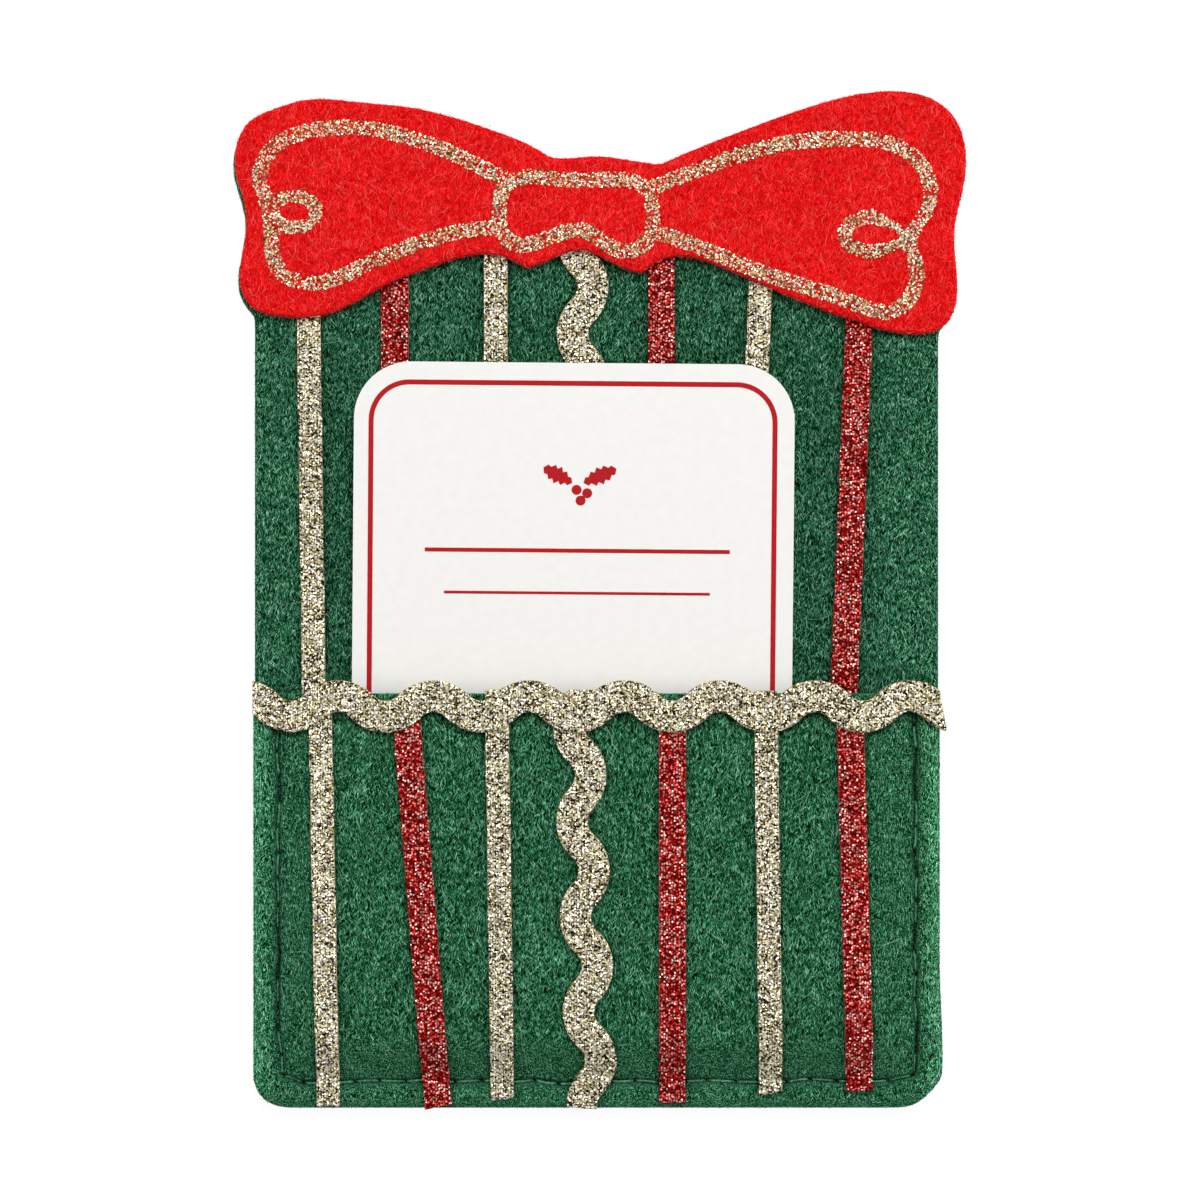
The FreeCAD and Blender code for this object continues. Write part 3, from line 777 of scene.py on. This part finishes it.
def drawn_by_hand(x, y):
    """Off the even ovals: the left curl is smaller, and the right one runs to a point on its bent line."""
    across, up = x - LEFT_CURL[0], y - LEFT_CURL[1]
    near = fade(np.maximum(np.hypot(across, up) - LEFT_CURL_RADIUS, 0), LEFT_CURL_FADE)
    near = near * np.clip((across + LEFT_CURL_END) / LEFT_CURL_END_RUN, 0, 1)
    x = x - LEFT_CURL_NARROWED * across * near
    y = y - (LEFT_CURL_FLATTENED * up + LEFT_CURL_LOWERED) * near
    across, up = x - RIGHT_CURL[0], y - RIGHT_CURL[1]
    on_line = np.abs(x - np.interp(y, LINE_HEIGHTS, LINE_PLACES)) < LINE_HALF_WIDTH
    in_curl = (np.abs(across) < RIGHT_CURL_HALF[0]) & (np.abs(up) < RIGHT_CURL_HALF[1]) & ~on_line
    point = np.clip((across - POINT_FROM) / POINT_RUN, 0, 1)
    bent = np.where(on_line, x + np.interp(y, BEND_HEIGHTS, LINE_BENDS), x)
    return bent, np.where(in_curl, y - POINT_LOWERED * point - POINT_FLATTENED * point * up, y)


def contour_spots(rng):
    """Random places for the flakes on the printed line, in millimetres."""
    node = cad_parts["bow_contour"].data
    node.calc_loop_triangles()
    corners = np.array([[node.vertices[at].co for at in face.vertices] for face in node.loop_triangles]) / MM
    cross = np.cross(corners[:, 1] - corners[:, 0], corners[:, 2] - corners[:, 0])
    size = np.linalg.norm(cross, axis=1) * (cross[:, 2] > 0)
    picked = rng.choice(len(corners), FLAKES, p=size / size.sum())
    shares = rng.dirichlet((1, 1, 1), FLAKES)
    spots = np.einsum("fc,fcd->fd", shares, corners[picked])
    spots[:, 0], spots[:, 1] = drawn_by_hand(spots[:, 0], spots[:, 1])
    spots[:, 2] = rng.uniform(*FLAKE_LEVELS, FLAKES)
    return spots


rng = np.random.default_rng(FLAKE_SEED)
spots = contour_spots(rng)
facing = [rng.normal(0, FLAKE_LEAN, FLAKES), rng.normal(0, FLAKE_LEAN, FLAKES), np.ones(FLAKES)]
facing = unit(np.stack(facing, 1))
first = unit(np.cross(facing, np.array([FLAKE_SIDE])))
second = np.cross(facing, first)
radius = rng.uniform(*FLAKE_RADII, (FLAKES, 1))
spin = rng.uniform(0, 2 * math.pi, (FLAKES, 1))
flake_corners = []
for corner in range(4):
    angle = spin + corner * math.pi / 2
    outward = np.cos(angle) * first + np.sin(angle) * second
    flake_corners.append(spots + radius * outward + FLAKE_TOP * facing)
flake_corners.append(spots - FLAKE_UNDER * facing)
contour = many_parts(
    "bow_contour_flakes",
    tinted("contour flakes", CONTOUR_TONES, roughness=0.35, Metallic=0.42),
    flake_corners,
    FLAKE_FACES,
    rng.uniform(0, 1, FLAKES),
    FLAKE_SPOTS,
)
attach(contour, "holder")
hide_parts("bow_contour")

# Pocket: a second sheet of green felt, sewn to the back panel along its sides and foot.
# It swells off the back panel inside the seam, and the stitches pull it into a soft valley.
# Short and long loose fibres lie on it. It is painted paler along its edges as highlight, and darker along
# the seam and beside its trims as shade.
POCKET_VOXEL = 0.4
POCKET_RISE = 1.81
POCKET_LOWEST = 1.6
POCKET_SWELL = 0.05
POCKET_SWELL_REACH = 8.0
CAD_RISE_START = 3.6
CAD_RISE_RUN = 4.6
SOFT_RISE_START = 3.2
SOFT_RISE_RUN = 5.8
SEAM_TURN = 1.56
SEAM_FINE = 1.4
TOP_SIDE = 0.2
HEM_CROWN = 0.45
HEM_DROP = 0.5
WIDE_VALLEY = 0.3
WIDE_VALLEY_WIDTH = 1.3
STEEP_VALLEY = 0.7
STEEP_VALLEY_WIDTH = 0.29
PIT = 0.2
PIT_WIDTH = 0.3
SIDE_HIGHLIGHT = 0.75
SIDE_HIGHLIGHT_REACH = 2.3
RIM_HIGHLIGHT = 0.6
RIM_HIGHLIGHT_REACH = 0.6
FOOT_HIGHLIGHT = 0.5
FOOT_HIGHLIGHT_REACH = 1.2
MOUTH_HIGHLIGHT = 0.5
MOUTH_HIGHLIGHT_REACH = 0.9
SEAM_SHADE = 1.1
SEAM_SHADE_WIDTH = 0.21
PIT_SHADE = 0.15
DARKEST = -1.05
POCKET_UNDERSIDE = -0.2
BARE_SEAM = 0.6
BARE_SEAM_WIDTH = 0.4
CLEAR_SEAM = 0.3
CLEAR_SEAM_WIDTH = 1.2


def from_edge(x, y):
    """How far a point of the pocket's plan lies inside its sides and foot, with softly turned corners."""
    sides = HALF_WIDTH - np.abs(x)
    foot = y - FOOT
    nearest = np.minimum(sides, foot)
    furthest = np.maximum(sides, foot)
    return nearest - SEAM_TURN * np.log1p(np.exp((nearest - furthest) / SEAM_TURN))


def pits(x, y):
    """The small pits at the needle holes, from 0 to 1 at a hole."""
    nearest = np.full(len(x), FAR_AWAY)
    for hole_x, hole_y in holes:
        nearest = np.minimum(nearest, (x - hole_x) ** 2 + (y - hole_y) ** 2)
    return np.exp(-nearest / PIT_WIDTH**2)


def soft_shift(x, y):
    """How much the soft pocket lies above the CAD pocket's straight slopes."""
    straight = np.minimum(HALF_WIDTH - np.abs(x), y - FOOT)
    straight = np.clip((straight - CAD_RISE_START) / CAD_RISE_RUN, 0, 1)
    soft = np.clip((from_edge(x, y) - SOFT_RISE_START) / SOFT_RISE_RUN, 0, 1)
    return POCKET_RISE * (soft * soft * (3 - 2 * soft) - straight)


def pocket_painted_light(x, y):
    """Painted light on the pocket's felt: painted highlight at its sides, foot and mouth (above 0), painted
    shade at the seam, its holes and the trims (below 0).
    """
    sides = np.maximum(HALF_WIDTH - np.abs(x), 0)
    highlight = SIDE_HIGHLIGHT * fade(sides, SIDE_HIGHLIGHT_REACH, 4) + RIM_HIGHLIGHT * fade(sides, RIM_HIGHLIGHT_REACH)
    highlight = np.maximum(highlight, FOOT_HIGHLIGHT * fade(np.maximum(y - FOOT, 0), FOOT_HIGHLIGHT_REACH))
    highlight = np.maximum(highlight, MOUTH_HIGHLIGHT * fade(np.maximum(MOUTH - y, 0), MOUTH_HIGHLIGHT_REACH))
    seam_shaded = highlight - SEAM_SHADE * valley(x, y, SEAM_SHADE_WIDTH) - PIT_SHADE * pits(x, y)
    return seam_shaded - TRIM_SHADE * beside(x, y, pocket_trims)


green_felt = felt("green felt", GREEN_TONES, GREEN_SHEEN)
green_fibre = fibre_finish("green fibres", GREEN_FIBRES)
green_stray = fibre_finish("green stray fibres", GREEN_STRAYS)
pocket_trims = [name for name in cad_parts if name.startswith("pocket_") and name != "pocket_panel"]
pocket_trims.append("mouth_ricrac")
pocket = felt_sheet("pocket_panel_felt", POCKET_VOXEL, "pocket_panel", "needle_thread")
for face in pocket.data.polygons:
    inset = from_edge(face.center.x / MM, face.center.y / MM)
    face.select = bool(face.normal.z > FACES_UP and abs(inset - SEAM_INSET) < SEAM_FINE)
only(pocket)
bpy.ops.object.mode_set(mode="EDIT")
bpy.ops.mesh.subdivide(number_cuts=1)
bpy.ops.object.mode_set(mode="OBJECT")
on_top = np.array([vertex.normal.z > TOP_SIDE for vertex in pocket.data.vertices])
x, y, z = points_of(pocket)
z = z + soft_shift(x, y)
hem = np.clip(from_edge(x, y) / SEAM_INSET, 0, 1)
crown = HEM_CROWN * np.sin(math.pi * hem) - HEM_DROP * (1 - hem) ** 2
pressed = WIDE_VALLEY * valley(x, y, WIDE_VALLEY_WIDTH)
pressed = pressed + STEEP_VALLEY * valley(x, y, STEEP_VALLEY_WIDTH) + PIT * pits(x, y)
face_z = np.maximum(z + crown + POCKET_SWELL * uneven(x, y, POCKET_SWELL_REACH) - pressed, POCKET_LOWEST)
move_points(pocket, *cut_by_hand(x, y), np.where(on_top, face_z, z))
# Painted light on the felt, and below on its short fibres: painted highlights along the edges, painted shade
# along the seam, at the holes and beside the trims.
set_points(pocket, "worn", np.maximum(pocket_painted_light(x, y), DARKEST))
pocket.data.materials.append(green_felt)
pocket_nap = nap(
    pocket,
    "pocket_panel_nap",
    green_fibre,
    count=30000,
    seed=37,
    keep=lambda x, y, z, up: (up > POCKET_UNDERSIDE) * (valley(x, y, BARE_SEAM_WIDTH) < BARE_SEAM),
    worn=pocket_painted_light,
    **SHORT_FIBRES,
)
pocket_strays = nap(
    pocket,
    "pocket_panel_strays",
    green_stray,
    count=620,
    seed=41,
    keep=lambda x, y, z, up: (up > LEVEL) * (valley(x, y, CLEAR_SEAM_WIDTH) < CLEAR_SEAM),
    **LONG_FIBRES,
)
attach(pocket, "holder")
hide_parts("pocket_panel")
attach(pocket_nap, "holder")
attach(pocket_strays, "holder")

# Seam: green sewing thread of two plies, a lockstitch of about 3 mm round the pocket's sides and foot.
# The needle thread shows on the front and the bobbin thread on the back.
PLY = 0.08
PLY_RADIUS = 1.15 * PLY
PLY_TURNS = 2.5
STITCH_STEPS = 14
STITCH_START = 0.04
STITCH_RUN = 0.92
DIP_ENDS = 5
SIDE_PULL = 0.8
PULL = (-0.1, 0.3)
SAG = 0.12
PULL_SEED = 59
NEEDLE_LEVEL = 2.28
NEEDLE_SINK = 0.5
BOBBIN_LEVEL = 0.24
BOBBIN_SINK = -0.4


def stitches(name, cad, level, sink, finish):
    """Twisted stitches from hole to hole, which dip into the felt at both ends."""
    line = bpy.data.curves.new(name, "CURVE")
    line.dimensions = "3D"
    line.bevel_depth = PLY_RADIUS * MM
    line.bevel_resolution = 1
    line.use_fill_caps = True
    tension = np.random.default_rng(PULL_SEED)
    ends = [Vector((*hole, 0.0)) for hole in holes]
    for begin, end in zip(ends, ends[1:]):
        run = end - begin
        pulled = sink * (tension.uniform(0.0, SIDE_PULL) * abs(run.y) / run.length + tension.uniform(*PULL))
        sag = tension.uniform(-SAG, SAG)
        across = Vector((-run.y, run.x, 0.0)).normalized()
        for ply in (0, 1):
            spline = line.splines.new("POLY")
            spline.points.add(STITCH_STEPS)
            for step, point in enumerate(spline.points):
                share = step / STITCH_STEPS
                dip = max(0.0, 1 - DIP_ENDS * min(share, 1 - share)) ** 2
                angle = 2 * math.pi * PLY_TURNS * share + math.pi * ply
                aside = sag * math.sin(math.pi * share) + PLY * math.cos(angle)
                spot = begin + run * (STITCH_START + STITCH_RUN * share) + across * aside
                spot.z = level - pulled - sink * dip + PLY * math.sin(angle)
                point.co = (*(spot * MM), 1.0)
    piece = bpy.data.objects.new(name, line)
    bpy.context.collection.objects.link(piece)
    only(piece)
    bpy.ops.object.convert(target="MESH")
    piece = bpy.context.object
    bpy.ops.object.shade_smooth()
    piece.data.materials.clear()
    piece.data.materials.append(finish)
    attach(piece, "holder")
    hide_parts(cad)


def thread_finish():
    """Spun sewing thread: a soft sheen, with the tone changing along it."""
    low = (0.3, (0.030, 0.190, 0.090))
    high = (0.7, (0.150, 0.500, 0.300))
    constants = {"roughness": 0.4, "Specular_IOR_Level": 0.4}
    return mottled("green thread", low, high, scale=1500.0, detail=2.0, **constants)[0]


green_thread = thread_finish()
stitches("needle_stitches", "needle_thread", NEEDLE_LEVEL, NEEDLE_SINK, green_thread)
stitches("bobbin_stitches", "bobbin_thread", BOBBIN_LEVEL, BOBBIN_SINK, green_thread)

# Trims on the pocket: the same glitter sheet, glued on in the same order down to the bottom edge.
# They follow the pocket's soft swelling, and their lower ends are cut off at a slight slope.
FOOT_CUT = 3.0
FOOT_SLOPES = {"red_left": 0.11, "gold_middle": 0.09, "ricrac": -0.05, "gold_right": 0.2, "red_right": 0.04}
for seed, (place_name, slot) in enumerate(trim_slots.items(), start=20):
    pocket_trim = trim("pocket_" + place_name + "_trim", "pocket_" + place_name, finishes_of[slot], seed)
    x, y, z = points_of(pocket_trim)
    at_foot = np.clip((y.min() + FOOT_CUT - y) / FOOT_CUT, 0, 1)
    cut = FOOT_SLOPES.get(place_name, 0.0) * (x - x[at_foot > 0.5].mean()) * at_foot
    move_points(pocket_trim, x, y + cut, z + soft_shift(x, y))

# Mouth ric-rac: a wavy gold trim glued across the pocket's mouth, over the heads of the pocket's trims.
# Its right end is cut off to a point that stands out past the felt.
TIP_FROM = 40.0
TIP_RUN = 2.15
TIP_TOP = -12.0
TIP_DROP_RUN = 3.0
TIP_OUT = 0.7
TIP_DOWN = 0.4
mouth_trim = trim("mouth_ricrac_trim", "mouth_ricrac", finishes_of["gold_glitter"], seed=40)
x, y, z = points_of(mouth_trim)
tip = np.clip((x - TIP_FROM) / TIP_RUN, 0, 1) ** 2 * np.clip((TIP_TOP - y) / TIP_DROP_RUN, 0, 1)
move_points(mouth_trim, x + TIP_OUT * tip, y - TIP_DOWN * tip, z + soft_shift(x, y))

# Insert card: white coated card with round corners, loose in the pocket, so it slides out past the bow.
# It is printed in red with a border line, and in its middle with a sprig and two plain lines to write on.
# Places on the card are measured from the middle of its lower end.
CARD_WIDTH = 54.0
CARD_LENGTH = 85.6
CARD_THICKNESS = 0.45
CARD_FOOT = (-3.4, FOOT + 5.8, 1.65)
CARD_LEAN = -0.5
CARD_SLOPE = 1.2202
CARD_RELIEF = 0.02
INK = 0.04
BORDER_WIDTH = CARD_WIDTH - 3.9
BORDER_LENGTH = CARD_LENGTH - 4.4
BORDER_ASIDE = -0.15
BORDER_CORNER = 5.0
BORDER_CORNER_STEPS = 14
BORDER_LINE = 0.62
LEAF_WIDTHS = (0.0, 0.55, 0.42, 0.95, 0.62, 1.15, 0.68, 1.0, 0.5, 0.62, 0.0)
LEAVES = ((0.9, 0.5, 24, 4.4), (-0.5, 0.5, 152, 4.0))
BERRIES = ((0.05, -0.35), (1.35, -0.75), (0.55, -1.65))
BERRY_RADIUS = 0.62
BERRY_CORNERS = 20
SPRIG_AT = (0.3, 70.4)
LINES = (("card_line_upper", 62.6, 37.4, 0.5), ("card_line_lower", 57.4, 32.6, 0.35))
LINE_ASIDE = 0.5


def card_finish():
    """Coated card: nearly smooth, with a faint paper tooth."""
    low = (0.3, (0.900, 0.885, 0.850))
    high = (0.7, (0.930, 0.915, 0.885))
    constants = {"roughness": 0.5, "Specular_IOR_Level": 0.4}
    made, shader, tooth = mottled("coated card", low, high, scale=900.0, detail=3.0, **constants)
    bump = tooth.node("Bump", {}, {"Strength": 0.08, "Distance": CARD_RELIEF * MM, "Height": tooth})
    feed(shader, "Normal", bump)
    return made


def card_ink():
    """Red printing ink, slightly uneven."""
    low = (0.3, (0.430, 0.006, 0.010))
    high = (0.7, (0.520, 0.010, 0.014))
    constants = {"roughness": 0.5, "Specular_IOR_Level": 0.15}
    return mottled("card ink", low, high, scale=2500.0, detail=2.0, **constants)[0]


card_place = (
    Matrix.Translation(Vector(CARD_FOOT) * MM)
    @ Matrix.Rotation(math.radians(CARD_LEAN), 4, "Z")
    @ Matrix.Rotation(math.radians(CARD_SLOPE), 4, "X")
)
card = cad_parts["card"]
card.data.materials.clear()
card.data.materials.append(card_finish())
ink = card_ink()


def plane(name, x, y, width, height):
    """A flat rectangle round a place on the card."""
    bpy.ops.mesh.primitive_plane_add(size=1, location=(x * MM, y * MM, 0))
    piece = bpy.context.object
    piece.name = name
    piece.scale = (width * MM, height * MM, 1)
    bpy.ops.object.transform_apply()
    return piece


def printed(piece):
    """Lays a flat print on the card's face, gives it the ink's thickness and lets it ride on the card."""
    only(piece)
    bpy.ops.object.mode_set(mode="EDIT")
    bpy.ops.mesh.select_all(action="SELECT")
    bpy.ops.mesh.normals_make_consistent(inside=False)
    bpy.ops.object.mode_set(mode="OBJECT")
    apply(piece, "SOLIDIFY", thickness=INK * MM, offset=0.0)
    piece.matrix_world = card_place @ Matrix.Translation((0, 0, CARD_THICKNESS * MM))
    only(piece)
    bpy.ops.object.transform_apply()
    piece.data.materials.append(ink)
    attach(piece, "card")


border = plane("card_border", BORDER_ASIDE, CARD_LENGTH / 2, BORDER_WIDTH, BORDER_LENGTH)
bpy.ops.object.mode_set(mode="EDIT")
bpy.ops.mesh.select_all(action="SELECT")
bpy.ops.mesh.bevel(offset=BORDER_CORNER * MM, segments=BORDER_CORNER_STEPS, affect="VERTICES")
bpy.ops.mesh.select_all(action="SELECT")
bpy.ops.mesh.inset(thickness=BORDER_LINE * MM)
bpy.ops.mesh.delete(type="FACE")
bpy.ops.object.mode_set(mode="OBJECT")
printed(border)


def leaf(centre_x, centre_y, lean, length):
    """A toothed leaf's outline, up one side and back down the other."""
    along = Vector((math.cos(math.radians(lean)), math.sin(math.radians(lean))))
    across = Vector((-along.y, along.x))
    steps = [(at / (len(LEAF_WIDTHS) - 1) * length, half) for at, half in enumerate(LEAF_WIDTHS)]
    steps += [(reach, -half) for reach, half in reversed(steps[1:-1])]
    return [Vector((centre_x, centre_y)) + reach * along + half * across for reach, half in steps]


def berry(centre_x, centre_y):
    """A round berry's outline."""
    angles = [step * math.pi / (BERRY_CORNERS / 2) for step in range(BERRY_CORNERS)]
    return [
        Vector((centre_x + BERRY_RADIUS * math.cos(angle), centre_y + BERRY_RADIUS * math.sin(angle)))
        for angle in angles
    ]


sprig_points = []
sprig_faces = []
for outline in [leaf(*sizes) for sizes in LEAVES] + [berry(*centre) for centre in BERRIES]:
    sprig_faces.append(list(range(len(sprig_points), len(sprig_points) + len(outline))))
    sprig_points += [((at.x + SPRIG_AT[0]) * MM, (at.y + SPRIG_AT[1]) * MM, 0) for at in outline]
mesh = bpy.data.meshes.new("card_sprig")
mesh.from_pydata(sprig_points, [], sprig_faces)
sprig = bpy.data.objects.new("card_sprig", mesh)
bpy.context.collection.objects.link(sprig)
printed(sprig)

for name, up, length, thickness in LINES:
    printed(plane(name, LINE_ASIDE, up, length, thickness))

# Photographer's table: a plain white floor under a soft sky and three soft lamps, seen from straight above.
# To the camera the floor mostly glows by itself, so that it is pure white with only a faint shadow.
# Each lamp has a place and a width in metres, and its power in watts.
FLOOR_SIZE = 3000.0
FLOOR_LEVEL = -0.05
FLOOR_TONE = (0.9, 0.9, 0.9, 1.0)
FLOOR_GLOW = 1.06
GLOW_SHARE = 0.88
WHITE = (1.0, 1.0, 1.0, 1.0)
SKY = 0.3
LAMPS = (
    ("top", (0.12, 0.55, 0.80), 0.45, 5.9),
    ("left", (-0.75, 0.05, 0.30), 0.5, 2.3),
    ("right", (0.75, 0.05, 0.30), 0.5, 2.3),
)
VIEW_WIDTH = 147.2
VIEW_MIDDLE = (0.43, -0.07)
VIEW_LEVEL = 3.0
LENS = 120.0
SENSOR = 36.0
NEAREST = 10.0

bpy.ops.mesh.primitive_plane_add(size=FLOOR_SIZE * MM, location=(0, 0, FLOOR_LEVEL * MM))
floor = bpy.context.object
floor.name = "floor"
made, shader, place = material("white floor", roughness=0.9)
shader.inputs["Base Color"].default_value = FLOOR_TONE
path = place.tree.nodes.new("ShaderNodeLightPath")
rays = ("Is Camera Ray", "Is Glossy Ray", "Is Transmission Ray")
seen = [Shade(place.tree, path.outputs[kind]) for kind in rays]
ray = place.maths("MAXIMUM", seen[0], place.maths("MAXIMUM", seen[1], seen[2]))
glow = place.node("Emission", {}, {"Color": WHITE, "Strength": FLOOR_GLOW})
lit = Shade(place.tree, shader.outputs["BSDF"])
mixed = place.node("MixShader", {}, {0: GLOW_SHARE * ray, 1: lit, 2: glow})
place.tree.links.new(mixed.socket, place.tree.nodes["Material Output"].inputs["Surface"])
floor.data.materials.append(made)

world = bpy.data.worlds.new("soft sky")
bpy.context.scene.world = world
world.use_nodes = True
world.node_tree.nodes["Background"].inputs["Color"].default_value = WHITE
world.node_tree.nodes["Background"].inputs["Strength"].default_value = SKY

for name, spot, width, power in LAMPS:
    lamp = bpy.data.lights.new(name, "AREA")
    lamp.size = width
    lamp.energy = power
    light = bpy.data.objects.new(name, lamp)
    light.location = spot
    light.rotation_euler = (-Vector(spot)).to_track_quat("-Z", "Y").to_euler()
    bpy.context.collection.objects.link(light)

lens = bpy.data.cameras.new("camera")
lens.lens = LENS
lens.sensor_width = SENSOR
lens.clip_start = NEAREST * MM
camera = bpy.data.objects.new("camera", lens)
camera.location = [at * MM for at in (*VIEW_MIDDLE, VIEW_WIDTH * LENS / SENSOR + VIEW_LEVEL)]
bpy.context.collection.objects.link(camera)
bpy.context.scene.camera = camera
bpy.context.scene.view_settings.view_transform = "Standard"
